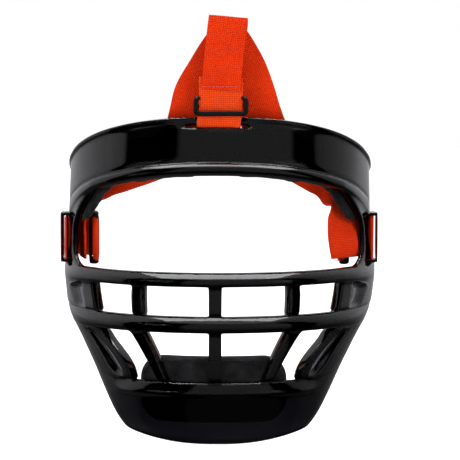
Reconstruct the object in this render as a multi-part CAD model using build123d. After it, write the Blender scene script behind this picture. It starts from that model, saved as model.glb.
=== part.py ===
"""Fielder's face guard: a moulded clear-smoke frame with a webbing harness and foam pads.

Millimetres. X is across the face, -Y is the way the wearer looks, +Z is up.
The origin is the middle of the forehead pad's inner face, where the forehead rests.
"""
from build123d import *
from math import cos, radians, sin
import os

# ---- driving dimensions -------------------------------------------------------------------
WEBBING = 25.4          # width of the webbing and elastic
STRAP = 1.4             # their thickness
GAP = 0.4               # air between soft pieces and what they lie against
WALL = 3.0              # wall of the moulded frame

# forehead band, in its own frame, tipped back about X
TILT = 24.0             # how far the band's plane drops towards the temples
BAND_CURVE = 2.5        # its plan is a superellipse of this power: flatter than an ellipse over the brow
BAND_HALF = 90.5        # half width over the temples
BAND_FRONT = -12.0      # outer face at the middle
BAND_REAR = 66.0        # where the band ends beside the temples
BAND_TOP = 14.6
BAND_FOOT = -13.5       # where the plain wall meets the brow lip
LIP_FOOT = -20.6
LIP_PROUD = 3.0         # the lip stands this far out of the wall
LIP_REAR = 34.0         # the lip dies into the posts here
RIM_PROUD = 1.0         # thin bead along the band's top edge
RIM_TALL = 2.2
SLOT_WIDE = 37.0
SLOT_LOW = 7.7
SLOT_HIGH = 11.2

# side posts and their strap bridges
POST_HALF = 88.5
POST_FRONT = 27.0       # front edge of the post, in Y
POST_REAR = 60.0
POST_FOOT = -68.5
POST_PLAN_TOP = -14.0   # front of the ellipse the post follows, at the band
POST_PLAN_FOOT = -24.0  # and at the cheek rail
BRIDGE_OUT = 94.5
BRIDGE_ROOT = 4.0       # how far the bridge's legs reach into the post
INSIDE = 60.0           # depth of the room cleared inside the posts
BRIDGE_LOW = -69.0
BRIDGE_HIGH = -38.5
BRIDGE_START = 33.0
BRIDGE_END = 50.0
BRIDGE_LEG = 2.0

# grille rails: height of the top and the foot
CHEEK_RAIL = (-68.5, -76.5)
MIDDLE_RAIL = (-92.7, -102.0)
CHIN_LIP = (-129.5, -135.5)
CHIN_FOOT = -166.5
BOWL_HEIGHTS = (CHIN_LIP[1], -142.5, -150.0, -158.0, CHIN_FOOT)
LIP_STEP = 1.5          # how far the chin lip stands out of the bowl
RAIL_PROUD = 3.0
RAIL_CHAMFER = 3.2

# the grille's form: height, half width, front and rear of the half ellipse
FORM = (
    (-68.5, 91.8, -36.0, 57.0),
    (-84.0, 91.8, -39.0, 53.0),
    (-101.0, 86.0, -41.0, 38.0),
    (-117.0, 77.0, -42.0, 22.0),
    (-135.5, 67.0, -42.0, 6.0),
    (-150.0, 59.0, -39.0, -6.0),
    (-158.0, 52.5, -35.5, -12.0),
    (CHIN_FOOT, 40.0, -29.0, -17.0),
)

CENTRE_BAR = 3.6        # half width of the grille's centre bar
# the other bars: inner and outer edge at the top, then at the foot
UPPER_INNER = (40.5, 46.5, 39.0, 45.0)
UPPER_OUTER = (70.5, 76.0, 67.0, 72.5)
LOWER_INNER = (38.5, 45.5, 26.5, 31.0)
LOWER_OUTER = (61.5, 67.0, 48.5, 53.5)
BAR_PROUD = 1.5
PANEL = 2.0             # thickness of the panels outside the outer bars
SEAM_GAP = 0.1          # between a panel and the bar beside it

BRIDGE_GAP_LOW = BRIDGE_LOW + BRIDGE_LEG
BRIDGE_GAP_HIGH = BRIDGE_HIGH - BRIDGE_LEG
FAR = 400.0

BAND = Plane(origin=(0, 0, 0), x_dir=(1, 0, 0), z_dir=(0, sin(radians(TILT)), cos(radians(TILT))))


# ---- shapes used over and over ------------------------------------------------------------
BOW_STEPS = 8           # points on each half of a band section


def bow(half_width, rear, depth, power):
    """Half of a superellipse in plan, open to the rear, as a list of edges."""
    if power == 2:
        return [EllipticalCenterArc((0, rear), half_width, depth, start_angle=180, arc_size=180)]
    points = []
    for step in range(BOW_STEPS + 1):
        turn = radians(90.0 * (1 - step / BOW_STEPS))
        out = half_width * abs(sin(turn)) ** (2 / power)
        forward = depth * abs(cos(turn)) ** (2 / power)
        points.append((-out, rear - forward))
    left = Spline(points, tangents=[(0, -1), (1, 0)])
    return [left, mirror(left, Plane.YZ)]


def half_ring(height, half_width, front, rear, wall, power=2):
    """A flat horseshoe: the section of a wall that runs round the face at one height."""
    depth = rear - front
    outside = bow(half_width, rear, depth, power)
    inside = bow(half_width - wall, rear, depth - wall, power)
    ends = [Line((side * half_width, rear), (side * (half_width - wall), rear)) for side in (-1, 1)]
    return Pos(0, 0, height) * make_face(outside + inside + ends)


def upright_ring(low, high, half_width, front, rear, wall):
    """A wall with the band's plan, raised straight up from low to high."""
    return extrude(half_ring(low, half_width, front, rear, wall, BAND_CURVE), high - low)


def front_prism(outline):
    """A front outline of (x, z) corners, carried right through the object."""
    face = make_face(Polyline([(x, z) for x, z in outline], close=True))
    return extrude(Plane.XZ * face, FAR, both=True)


def block(x, y, z):
    """A box between two limits on each axis."""
    size = [abs(high - low) for low, high in (x, y, z)]
    middle = [(low + high) / 2 for low, high in (x, y, z)]
    return Pos(*middle) * Box(*size)


def mirrored(shape):
    return mirror(shape, Plane.YZ)


def form_at(height):
    """Half width, front and rear of the grille's form at a height."""
    if height >= FORM[0][0]:
        return FORM[0][1:]
    for upper, lower in zip(FORM, FORM[1:]):
        if height >= lower[0]:
            part = (upper[0] - height) / (upper[0] - lower[0])
            return tuple(a + (b - a) * part for a, b in zip(upper[1:], lower[1:]))
    return FORM[-1][1:]


def form_section(height, out=0.0, wall=WALL):
    """Section of the grille's form, its outer face moved out by a distance."""
    half_width, front, rear = form_at(height)
    return half_ring(height, half_width + out, front - out, rear, wall)


def form_wall(low, high, out=0.0, wall=WALL, steps=3):
    """Wall of the grille's form between two heights."""
    heights = [high + (low - high) * step / steps for step in range(steps + 1)]
    return loft([form_section(height, out, wall) for height in heights])


def rail(high, low):
    """A rail round the face: a chamfered top and a full lower part."""
    top = form_section(high, 0.4, WALL + 1.0)
    shoulder = form_section(high - RAIL_CHAMFER, RAIL_PROUD, WALL + 2 * RAIL_PROUD - 1)
    foot = form_section(low, RAIL_PROUD - 0.6, WALL + 2 * RAIL_PROUD - 2)
    return loft([top, shoulder, foot], ruled=True)


def save(name, shape):
    solids = shape.solids()
    whole = solids[0] if len(solids) == 1 else Compound(children=list(solids))
    export_step(whole, f"parts/{name}.step")


# ---- the moulded frame --------------------------------------------------------------------
def band_bead(low, high, proud):
    """The band's wall thickened outwards between two heights."""
    return upright_ring(low, high, BAND_HALF + proud, BAND_FRONT - proud, BAND_REAR, WALL + proud)


def forehead_band():
    wall = upright_ring(BAND_FOOT, BAND_TOP, BAND_HALF, BAND_FRONT, BAND_REAR, WALL)
    rim = band_bead(BAND_TOP - RIM_TALL, BAND_TOP, RIM_PROUD)
    lip = band_bead(LIP_FOOT, BAND_FOOT, LIP_PROUD)
    lip = lip & block((-FAR, FAR), (-FAR, LIP_REAR), (-FAR, FAR))
    slot = block((-SLOT_WIDE / 2, SLOT_WIDE / 2), (-FAR, 0), (SLOT_LOW, SLOT_HIGH))
    rim_gap = block((-SLOT_WIDE / 2, SLOT_WIDE / 2), (-FAR, BAND_FRONT), (SLOT_LOW, FAR))
    return BAND * (wall + rim + lip - slot - rim_gap)


def left_post(band):
    """Side wall from the band down to the cheek rail, with the bridge that the strap passes."""
    head = half_ring(0, POST_HALF + 1.0, POST_PLAN_TOP, POST_REAR + 2, WALL)
    foot = half_ring(POST_FOOT, POST_HALF, POST_PLAN_FOOT, POST_REAR, WALL)
    wall = loft([head, foot]) & block((-FAR, 0), (POST_FRONT, FAR), (-FAR, 0))
    under_band = BAND * block((-FAR, FAR), (-FAR, FAR), (-FAR, BAND_FOOT))
    wall = (wall & under_band) - band
    root = (-BRIDGE_OUT, -POST_HALF + BRIDGE_ROOT)
    bridge = block(root, (BRIDGE_START, BRIDGE_END), (POST_FOOT, BRIDGE_HIGH))
    passage = (-BRIDGE_OUT + BRIDGE_LEG, -POST_HALF + 0.9)
    gap = block(passage, (0, FAR), (BRIDGE_GAP_LOW, BRIDGE_GAP_HIGH))
    inside = half_ring(POST_FOOT, POST_HALF - WALL / 2, POST_PLAN_FOOT + 2, POST_REAR, INSIDE)
    bridge = bridge - gap - extrude(inside, -POST_FOOT)
    return wall + bridge


UPPER_HIGH = CHEEK_RAIL[1]
UPPER_LOW = MIDDLE_RAIL[0]
LOWER_HIGH = MIDDLE_RAIL[1]
LOWER_LOW = CHIN_LIP[0]


def both_sides(outline):
    shape = front_prism(outline)
    return shape + mirrored(shape)


def bar(top_in, top_out, high, foot_in, foot_out, low):
    """Front outline of one bar: inner and outer edge at its top, then at its foot."""
    return ((top_in, high), (top_out, high), (foot_out, low), (foot_in, low))


def bars(high, low, inner, outer):
    """A row of bars: the centre bar and two mirrored pairs, each pair by its edges at top and foot."""
    wall = form_wall(low, high, BAR_PROUD, WALL + 2 * BAR_PROUD)
    centre = front_prism(bar(-CENTRE_BAR, CENTRE_BAR, high, -CENTRE_BAR, CENTRE_BAR, low))
    inner_pair = both_sides(bar(inner[0], inner[1], high, inner[2], inner[3], low))
    outer_pair = both_sides(bar(outer[0], outer[1], high, outer[2], outer[3], low))
    return wall & (centre + inner_pair + outer_pair)


def upper_bars():
    return bars(UPPER_HIGH, UPPER_LOW, UPPER_INNER, UPPER_OUTER)


def lower_bars():
    return bars(LOWER_HIGH, LOWER_LOW, LOWER_INNER, LOWER_OUTER)


def beyond_bar(edges, high, low):
    """Everything to the wearer's right of an outer bar."""
    return front_prism(bar(-edges[1] - SEAM_GAP, -FAR, high, -edges[3] - SEAM_GAP, -FAR, low))


def left_cheek_panel():
    """Thin recessed panels that close the cells outside the outer bars."""
    upper = form_wall(UPPER_LOW, UPPER_HIGH, -0.5, PANEL)
    upper = upper & beyond_bar(UPPER_OUTER, UPPER_HIGH, UPPER_LOW)
    lower = form_wall(LOWER_LOW, LOWER_HIGH, -0.5, PANEL)
    lower = lower & beyond_bar(LOWER_OUTER, LOWER_HIGH, LOWER_LOW)
    return upper + lower


def chin_shield():
    lip_head = form_section(CHIN_LIP[0], -1.0, WALL)
    lip_foot = form_section(CHIN_LIP[1], LIP_STEP, WALL + LIP_STEP + 1)
    lip = loft([lip_head, lip_foot], ruled=True)
    bowl = loft([form_section(height) for height in BOWL_HEIGHTS])
    return lip + bowl


# ---- pads ---------------------------------------------------------------------------------
def band_ring(low, high, inset, thick, rear):
    """A layer inside the forehead band, in the band's frame."""
    return upright_ring(low, high, BAND_HALF - inset, BAND_FRONT + inset, rear, thick)


TAPE = 1.0              # hook tape
GLUE = 0.05             # film between the tape and the frame
PAD = 8.0
SIDE_PAD = 5.0
PAD_FOOT = -18.5        # heights in the band's frame
PAD_TOP = 6.6
PAD_HALF = 61.0
TAPE_HALF = 55.0
TAPE_FOOT = -11.0
TAPE_TOP = 5.0
TEMPLE_START = -PAD_HALF - 1.5
TEMPLE_REAR = 58.0
TEMPLE_TAPE_START = -PAD_HALF - 5.0
TEMPLE_TAPE_REAR = 54.0
TEMPLE_TAPE = (-9.0, 9.0)
TEMPLE_PAD = (-12.5, 12.0)


def forehead_tape():
    layer = band_ring(TAPE_FOOT, TAPE_TOP, WALL + GLUE, TAPE - GLUE, BAND_REAR)
    return BAND * (layer & block((-TAPE_HALF, TAPE_HALF), (-FAR, FAR), (-FAR, FAR)))


def forehead_pad():
    layer = band_ring(PAD_FOOT, PAD_TOP, WALL + TAPE, PAD, BAND_REAR)
    return BAND * (layer & block((-PAD_HALF, PAD_HALF), (-FAR, FAR), (-FAR, FAR)))


def left_temple_tape():
    layer = band_ring(*TEMPLE_TAPE, WALL + GLUE, TAPE - GLUE, BAND_REAR)
    return BAND * (layer & block((-FAR, TEMPLE_TAPE_START), (-FAR, TEMPLE_TAPE_REAR), (-FAR, FAR)))


def left_temple_pad():
    layer = band_ring(*TEMPLE_PAD, WALL + TAPE, SIDE_PAD, BAND_REAR)
    return BAND * (layer & block((-FAR, TEMPLE_START), (-FAR, TEMPLE_REAR), (-FAR, FAR)))


CHIN_PAD_TOP = -118.0
CHIN_PAD_FOOT = -152.0
CHIN_PAD_HALF = 43.0
CHIN_PAD = 11.0         # thickness over the cover
COVER = 1.0             # the cover's own thickness
CHIN_PAD_INSET = WALL + 1.6
CHIN_TAPE = (-150.0, -139.0)
CHIN_TAPE_HALF = 22.0


def chin_layer(low, high, inset, thick, half):
    section_low = form_section(low, -inset, thick)
    section_high = form_section(high, -inset, thick)
    wall = loft([section_high, section_low])
    return wall & block((-half, half), (-FAR, FAR), (-FAR, FAR))


def chin_tape():
    return chin_layer(*CHIN_TAPE, WALL + 0.3, TAPE, CHIN_TAPE_HALF)


def chin_pad_core():
    low = CHIN_PAD_FOOT + 2 * COVER
    high = CHIN_PAD_TOP - 2 * COVER
    return chin_layer(low, high, CHIN_PAD_INSET + COVER, CHIN_PAD - 2 * COVER, CHIN_PAD_HALF - 2 * COVER)


def chin_pad_cover():
    outer = chin_layer(CHIN_PAD_FOOT, CHIN_PAD_TOP, CHIN_PAD_INSET, CHIN_PAD, CHIN_PAD_HALF)
    return outer - chin_pad_core()


# ---- straps -------------------------------------------------------------------------------
RIM_MID = (-10.1, 12.9)  # middle of the rim above the slot, in the band's frame
PIVOT_Y = RIM_MID[0] * cos(radians(TILT)) + RIM_MID[1] * sin(radians(TILT))
PIVOT_Z = -RIM_MID[0] * sin(radians(TILT)) + RIM_MID[1] * cos(radians(TILT))
LOOP = 3.6              # mid-line radius of the webbing round the band's rim
FRONT_PLY = PIVOT_Y - LOOP
REAR_PLY = PIVOT_Y + LOOP
SEAM = 35.0             # where the elastic is sewn to the webbing
PLY_TURN = 24.0         # where the rear ply starts to lean forwards
STRAP_TOP = 75.0
APEX = 61.0
CROWN_OVERLAP = 9.0     # the strap's end runs this far down over the legs
FOLD = 9.0              # between the two runs of the top strap
FOLD_RADIUS = 3.4


def across(path, width=WEBBING, thick=STRAP, shift=0.0):
    """A strap that runs in a side plane, laid across the mid-line."""
    start = Plane(origin=path @ 0, x_dir=(1, 0, 0), z_dir=path % 0)
    return Pos(shift, 0, 0) * sweep(start * Rectangle(width, thick), path)


def side_path(points, radius):
    return FilletPolyline([(0, y, z) for y, z in points], radius=radius)


def front_webbing():
    """Webbing through the slot and round the rim, its two plies brought together at the seam."""
    low = PIVOT_Z - LOOP
    joined = FRONT_PLY + STRAP + 0.1
    top = SEAM + 6.5
    front = ((FRONT_PLY, top), (FRONT_PLY, low))
    rear = ((REAR_PLY, low), (REAR_PLY, PLY_TURN), (joined, SEAM + 1), (joined, top))
    return across(side_path(front + rear, LOOP - 0.01))


STRAP_FACE = FRONT_PLY - STRAP
STRAP_BACK = STRAP_FACE + FOLD
TOP_STRAP_WIDE = 23.2
TOP_STRAP_SHIFT = 3.0   # the harness stands a little to the wearer's left


def top_strap():
    """Printed elastic from the seam, over the fold and down to the crown seam."""
    corners = (
        (STRAP_FACE, SEAM - 0.5), (STRAP_FACE, SEAM + 8), (STRAP_FACE + 1.5, STRAP_TOP),
        (STRAP_BACK, STRAP_TOP), (STRAP_BACK, APEX - CROWN_OVERLAP),
    )
    return across(side_path(corners, FOLD_RADIUS), TOP_STRAP_WIDE, STRAP, TOP_STRAP_SHIFT)


LEG_Y = STRAP_BACK + STRAP
LEG_SPLIT = 20.0
LEG_INSET = 14.5        # the leg's path inside the band
LEG_REAR = 44.0         # where it ends beside the post
LEG_OUTLINE = ((-12, 6), (-36, 6), (-54, -8), (-90, -26), (-90, -36), (-66, -36), (-46, -26), (-30, -16))


def upper_leg(crown, foot, y):
    """Elastic from the crown seam down towards the band, by its two edges at each end."""
    outline = ((crown[0], APEX), (crown[1], APEX), (foot[1], LEG_SPLIT), (foot[0], LEG_SPLIT))
    face = make_face(Polyline(list(outline), close=True))
    return Pos(0, y, 0) * extrude(Plane.XZ * face, STRAP / 2, both=True)


def left_upper_leg():
    return upper_leg((-9.5, 18.5), (-28.5, -0.5), LEG_Y)


def right_upper_leg():
    return upper_leg((-5.6, 21.5), (9.4, 36.5), LEG_Y + STRAP)


def left_lower_leg():
    """The same elastic from behind the band round to the post, inside the pads."""
    ring = upright_ring(-FAR / 4, FAR / 4, BAND_HALF - LEG_INSET, BAND_FRONT + LEG_INSET, BAND_REAR, STRAP)
    return BAND * ring & front_prism(LEG_OUTLINE) & block((-FAR, 0), (-FAR, LEG_REAR), (-FAR, FAR))


SIDE_MID = (BRIDGE_GAP_LOW + BRIDGE_GAP_HIGH) / 2
SIDE_PLY = (-76.4, -72.8)   # X of the inner ply at its rear and front
SIDE_RUN = (54.0, 20.0)     # Y of the same points
SIDE_TURN = 66.0            # Y of the fold behind the post
SIDE_TAIL = 27.0            # Y where the elastic starts, outside the post
SIDE_BEND = -83.5           # X where the inner run begins
BEND_RADIUS = 3.2


def left_side_loop():
    """Elastic through the bridge, round the post's rear edge and inside to its adjuster."""
    outside = -BRIDGE_OUT + BRIDGE_LEG + 1.35
    run = ((outside, SIDE_TAIL), (outside, SIDE_TURN), (SIDE_BEND, SIDE_TURN))
    inner_run = ((SIDE_PLY[0], SIDE_RUN[0]), (SIDE_PLY[1], SIDE_RUN[1]))
    path = FilletPolyline([(x, y, SIDE_MID) for x, y in run + inner_run], radius=BEND_RADIUS)
    start = Plane(origin=path @ 0, x_dir=(0, 0, 1), z_dir=path % 0)
    return sweep(start * Rectangle(WEBBING, STRAP), path)


# ---- adjusters ----------------------------------------------------------------------------
GLIDE_WIDE = 31.4
GLIDE_TALL = 11.5
GLIDE_BAR = 2.8
GLIDE_SIDE = 2.7
GLIDE_THICK = 2.0
GLIDE_FOOT = 18.8       # foot of the top adjuster


def tri_glide():
    """Three-bar slide. The strap runs along Z at Y = 0, behind the outer bars, before the middle."""
    room = STRAP / 2 + GAP
    opening = GLIDE_WIDE / 2 - GLIDE_SIDE
    reach = (-opening - 0.5, opening + 0.5)
    front = (-room - GLIDE_THICK, -room)
    rear = (room, room + GLIDE_THICK)
    half = GLIDE_TALL / 2
    frame = Box(GLIDE_WIDE, 2 * rear[1], GLIDE_TALL) - Box(2 * opening, FAR, FAR)
    frame += block(reach, front, (-half, -half + GLIDE_BAR))
    frame += block(reach, front, (half - GLIDE_BAR, half))
    frame += block(reach, rear, (-GLIDE_BAR / 2, GLIDE_BAR / 2))
    return frame


def top_tri_glide():
    return Pos(0, FRONT_PLY, GLIDE_FOOT + GLIDE_TALL / 2) * tri_glide()


def left_tri_glide():
    run = Vector(SIDE_PLY[1] - SIDE_PLY[0], SIDE_RUN[1] - SIDE_RUN[0], 0)
    middle = Vector((SIDE_PLY[0] + SIDE_PLY[1]) / 2, (SIDE_RUN[0] + SIDE_RUN[1]) / 2, SIDE_MID)
    place = Plane(origin=middle, x_dir=(0, 0, 1), z_dir=run)
    return place * tri_glide()


# ---- stitching ----------------------------------------------------------------------------
def stitch_row(y, z, count=8, pitch=2.6, middle=2.0):
    row = None
    for index in range(count):
        x = middle + (index - (count - 1) / 2) * pitch
        stitch = Pos(x, y, z) * Box(2.0, 0.4, 0.6)
        row = stitch if row is None else row + stitch
    return row


def front_seam():
    return stitch_row(STRAP_FACE - STRAP / 2 - 0.2, SEAM + 0.5)


def crown_seam():
    back = LEG_Y + STRAP * 1.5 + 0.2
    return stitch_row(back, APEX - 6, 5, middle=6.0) + stitch_row(back, APEX - 2.5, 5, middle=6.0)


def main():
    os.makedirs("parts", exist_ok=True)
    band = forehead_band()
    save("forehead_band", band)
    post = left_post(band)
    save("left_post", post)
    save("right_post", mirrored(post))
    save("cheek_rail", rail(*CHEEK_RAIL))
    save("middle_rail", rail(*MIDDLE_RAIL))
    save("upper_bars", upper_bars())
    save("lower_bars", lower_bars())
    save("left_cheek_panel", left_cheek_panel())
    save("right_cheek_panel", mirrored(left_cheek_panel()))
    save("chin_shield", chin_shield())
    save("forehead_hook_tape", forehead_tape())
    save("forehead_pad", forehead_pad())
    save("left_temple_tape", left_temple_tape())
    save("right_temple_tape", mirrored(left_temple_tape()))
    save("left_temple_pad", left_temple_pad())
    save("right_temple_pad", mirrored(left_temple_pad()))
    save("chin_hook_tape", chin_tape())
    save("chin_pad_core", chin_pad_core())
    save("chin_pad_cover", chin_pad_cover())
    save("front_webbing", front_webbing())
    save("top_strap", top_strap())
    save("left_upper_leg", left_upper_leg())
    save("right_upper_leg", right_upper_leg())
    save("left_lower_leg", left_lower_leg())
    save("right_lower_leg", mirrored(left_lower_leg()))
    save("left_side_loop", left_side_loop())
    save("right_side_loop", mirrored(left_side_loop()))
    save("top_tri_glide", top_tri_glide())
    save("left_tri_glide", left_tri_glide())
    save("right_tri_glide", mirrored(left_tri_glide()))
    save("front_seam", front_seam())
    save("crown_seam", crown_seam())


main()
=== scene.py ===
"""Fielder's face guard: moulded smoke shell, orange webbing harness, black pads and adjusters."""
import bpy
import bmesh
from math import cos, pi, radians, sin, sqrt
from mathutils import Matrix, Vector, noise


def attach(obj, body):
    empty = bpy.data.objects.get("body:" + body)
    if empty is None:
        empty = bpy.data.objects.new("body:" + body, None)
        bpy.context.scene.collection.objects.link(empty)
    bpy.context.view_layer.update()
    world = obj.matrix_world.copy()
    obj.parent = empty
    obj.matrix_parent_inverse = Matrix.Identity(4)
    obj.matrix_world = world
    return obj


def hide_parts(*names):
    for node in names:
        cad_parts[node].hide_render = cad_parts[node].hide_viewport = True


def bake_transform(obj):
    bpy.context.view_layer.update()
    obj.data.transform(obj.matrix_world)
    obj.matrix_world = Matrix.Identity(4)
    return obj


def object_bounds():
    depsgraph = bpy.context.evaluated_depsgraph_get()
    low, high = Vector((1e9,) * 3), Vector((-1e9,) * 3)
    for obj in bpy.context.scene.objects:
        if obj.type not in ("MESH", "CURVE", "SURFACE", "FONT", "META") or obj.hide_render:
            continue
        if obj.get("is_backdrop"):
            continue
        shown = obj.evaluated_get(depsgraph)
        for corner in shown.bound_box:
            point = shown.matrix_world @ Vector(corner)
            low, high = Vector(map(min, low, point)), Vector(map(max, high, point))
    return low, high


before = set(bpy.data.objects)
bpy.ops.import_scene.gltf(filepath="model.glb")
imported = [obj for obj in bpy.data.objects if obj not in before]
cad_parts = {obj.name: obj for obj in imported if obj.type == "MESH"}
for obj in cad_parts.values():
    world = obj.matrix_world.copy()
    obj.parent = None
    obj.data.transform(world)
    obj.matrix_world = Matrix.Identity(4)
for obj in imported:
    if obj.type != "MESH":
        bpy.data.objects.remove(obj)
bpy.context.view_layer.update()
MM = 0.001


# ---- small helpers ------------------------------------------------------------------------
def lerp(a, b, t):
    return a + (b - a) * t


def ease(a, b, value):
    """0 before a, 1 after b, smooth between."""
    t = min(1.0, max(0.0, (value - a) / (b - a)))
    return t * t * (3 - 2 * t)


def between(stops, value):
    """Smooth curve through (key, number) stops, in rising order of key."""
    if value <= stops[0][0]:
        return stops[0][1]
    if value >= stops[-1][0]:
        return stops[-1][1]
    for index in range(len(stops) - 1):
        (k0, v0), (k1, v1) = stops[index], stops[index + 1]
        if value <= k1:
            break
    before = stops[index - 1] if index else (2 * k0 - k1, 2 * v0 - v1)
    after = stops[index + 2] if index + 2 < len(stops) else (2 * k1 - k0, 2 * v1 - v0)
    m0 = (v1 - before[1]) / (k1 - before[0]) * (k1 - k0)
    m1 = (after[1] - v0) / (after[0] - k0) * (k1 - k0)
    t = (value - k0) / (k1 - k0)
    t2, t3 = t * t, t * t * t
    return (2 * t3 - 3 * t2 + 1) * v0 + (t3 - 2 * t2 + t) * m0 + (3 * t2 - 2 * t3) * v1 + (t3 - t2) * m1


def finish_mesh(name, bm, material, body, levels=0, smooth=True):
    """Turns a bmesh in metres into a piece that rides on a body."""
    mesh = bpy.data.meshes.new(name)
    bm.to_mesh(mesh)
    bm.free()
    for polygon in mesh.polygons:
        polygon.use_smooth = smooth
    piece = bpy.data.objects.new(name, mesh)
    bpy.context.scene.collection.objects.link(piece)
    mesh.materials.append(material)
    if levels:
        subdivide(piece, levels)
    if body:
        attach(piece, body)
    return piece


def subdivide(piece, levels):
    modifier = piece.modifiers.new("round", "SUBSURF")
    modifier.levels = levels
    modifier.render_levels = levels


# ---- materials ----------------------------------------------------------------------------
class Finish:
    """A material with its Principled shader and short ways to add nodes."""

    def __init__(self, name, colour, roughness):
        self.material = bpy.data.materials.new(name)
        self.material.use_nodes = True
        self.tree = self.material.node_tree
        self.shader = self.tree.nodes["Principled BSDF"]
        self.set("Base Color", (*colour, 1.0))
        self.set("Roughness", roughness)

    def set(self, socket, value):
        self.shader.inputs[socket].default_value = value

    def node(self, kind, **settings):
        made = self.tree.nodes.new(kind)
        for key, value in settings.items():
            if key.startswith("in_"):
                made.inputs[key[3:].replace("_", " ")].default_value = value
            else:
                setattr(made, key, value)
        return made

    def join(self, source, target):
        self.tree.links.new(source, target)

    def coordinates(self, scale, kind="Object"):
        source = self.node("ShaderNodeTexCoord")
        mapping = self.node("ShaderNodeMapping", in_Scale=scale)
        self.join(source.outputs[kind], mapping.inputs["Vector"])
        return mapping.outputs["Vector"]

    def colour_from(self, factor, dark, light, low=0.0, high=1.0):
        ramp = self.node("ShaderNodeValToRGB")
        ramp.color_ramp.elements[0].color = (*dark, 1)
        ramp.color_ramp.elements[1].color = (*light, 1)
        ramp.color_ramp.elements[0].position = low
        ramp.color_ramp.elements[1].position = high
        self.join(factor, ramp.inputs["Fac"])
        self.join(ramp.outputs["Color"], self.shader.inputs["Base Color"])
        return ramp

    def bump_from(self, height, strength, distance):
        bump = self.node("ShaderNodeBump", in_Strength=strength, in_Distance=distance)
        self.join(height, bump.inputs["Height"])
        self.join(bump.outputs["Normal"], self.shader.inputs["Normal"])

    def roughness_from(self, factor, low, high):
        span = self.node("ShaderNodeMapRange", in_To_Min=low, in_To_Max=high)
        self.join(factor, span.inputs["Value"])
        self.join(span.outputs["Result"], self.shader.inputs["Roughness"])

    def math(self, operation, first, second):
        made = self.node("ShaderNodeMath", operation=operation)
        for index, value in enumerate((first, second)):
            if isinstance(value, (int, float)):
                made.inputs[index].default_value = value
            else:
                self.join(value, made.inputs[index])
        return made.outputs[0]

    def wave(self, vector, direction, profile="SIN"):
        made = self.node("ShaderNodeTexWave", bands_direction=direction, wave_profile=profile, in_Scale=1.0)
        self.join(vector, made.inputs["Vector"])
        return made.outputs["Fac"]

    def noise(self, vector, scale, detail=3.0):
        made = self.node("ShaderNodeTexNoise", in_Scale=scale, in_Detail=detail)
        self.join(vector, made.inputs["Vector"])
        return made.outputs["Fac"]


def smoke_plastic():
    """Smoke-tinted clear polycarbonate: polished, all but black where it is thick."""
    finish = Finish("smoke_polycarbonate", (0.50, 0.51, 0.56), 0.03)
    finish.set("Transmission Weight", 1.0)
    finish.set("IOR", 1.585)
    absorb = finish.node("ShaderNodeVolumeAbsorption")
    absorb.inputs["Color"].default_value = (0.10, 0.10, 0.14, 1)
    absorb.inputs["Density"].default_value = 2000.0
    finish.join(absorb.outputs[0], finish.tree.nodes["Material Output"].inputs["Volume"])
    cloud = finish.noise(finish.coordinates((1, 1, 1)), 40.0, 2.0)
    finish.roughness_from(cloud, 0.02, 0.07)
    return finish.material


WAVE = 0.314            # length of one band of the wave texture at scale 1


def strap_cloth(name, dark, light, rib, pick, depth, fuzziness=0.35):
    """Woven narrow cloth. Its UV map is in metres: U across the strap, V along it. Ribs run along it."""
    finish = Finish(name, light, 0.85)
    finish.set("Sheen Weight", 0.03)
    finish.set("Sheen Roughness", 0.5)
    finish.set("Sheen Tint", (1.0, 0.35, 0.15, 1))
    finish.set("Specular IOR Level", 0.07)
    across = finish.wave(finish.coordinates((WAVE / rib, 1, 1), "UV"), "X")
    along = finish.wave(finish.coordinates((1, WAVE / pick, 1), "UV"), "Y")
    weave = finish.math("ADD", finish.math("MULTIPLY", across, 0.45), finish.math("MULTIPLY", along, 0.55))
    cloud = finish.noise(finish.coordinates((1, 1, 1)), 70.0)
    fuzz = finish.noise(finish.coordinates((1, 1, 1)), 2200.0)
    tone = finish.math("ADD", finish.math("MULTIPLY", weave, 0.5), finish.math("MULTIPLY", cloud, 0.35))
    finish.colour_from(finish.math("ADD", tone, finish.math("MULTIPLY", fuzz, 0.25)), dark, light, 0.22, 0.78)
    finish.bump_from(finish.math("ADD", weave, finish.math("MULTIPLY", fuzz, fuzziness)), 0.9, depth)
    return finish.material


def pad_knit():
    finish = Finish("brushed_black_knit", (0.012, 0.012, 0.013), 0.62)
    finish.set("Sheen Weight", 0.03)
    finish.set("Specular IOR Level", 0.09)
    where = finish.coordinates((1, 1, 1))
    loops = finish.node("ShaderNodeTexVoronoi", in_Scale=900.0)
    finish.join(where, loops.inputs["Vector"])
    cloud = finish.noise(where, 120.0)
    finish.colour_from(cloud, (0.003, 0.003, 0.0035), (0.012, 0.012, 0.013), 0.3, 0.7)
    finish.bump_from(loops.outputs["Distance"], 0.8, 0.0005)
    return finish.material


def binding_cloth():
    finish = Finish("black_binding", (0.014, 0.014, 0.015), 0.75)
    where = finish.coordinates((1, 1, 1))
    ribs = finish.wave(finish.coordinates((420, 0, 0)), "X")
    cloud = finish.noise(where, 200.0)
    finish.colour_from(cloud, (0.006, 0.006, 0.007), (0.03, 0.03, 0.032), 0.3, 0.7)
    finish.bump_from(ribs, 0.4, 0.0004)
    return finish.material


def hook_cloth():
    finish = Finish("hook_tape", (0.010, 0.010, 0.011), 0.85)
    hooks = finish.node("ShaderNodeTexVoronoi", in_Scale=1100.0)
    finish.join(finish.coordinates((1, 1, 1)), hooks.inputs["Vector"])
    finish.colour_from(hooks.outputs["Distance"], (0.004, 0.004, 0.004), (0.03, 0.03, 0.03))
    finish.bump_from(hooks.outputs["Distance"], 0.9, 0.0006)
    return finish.material


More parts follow.
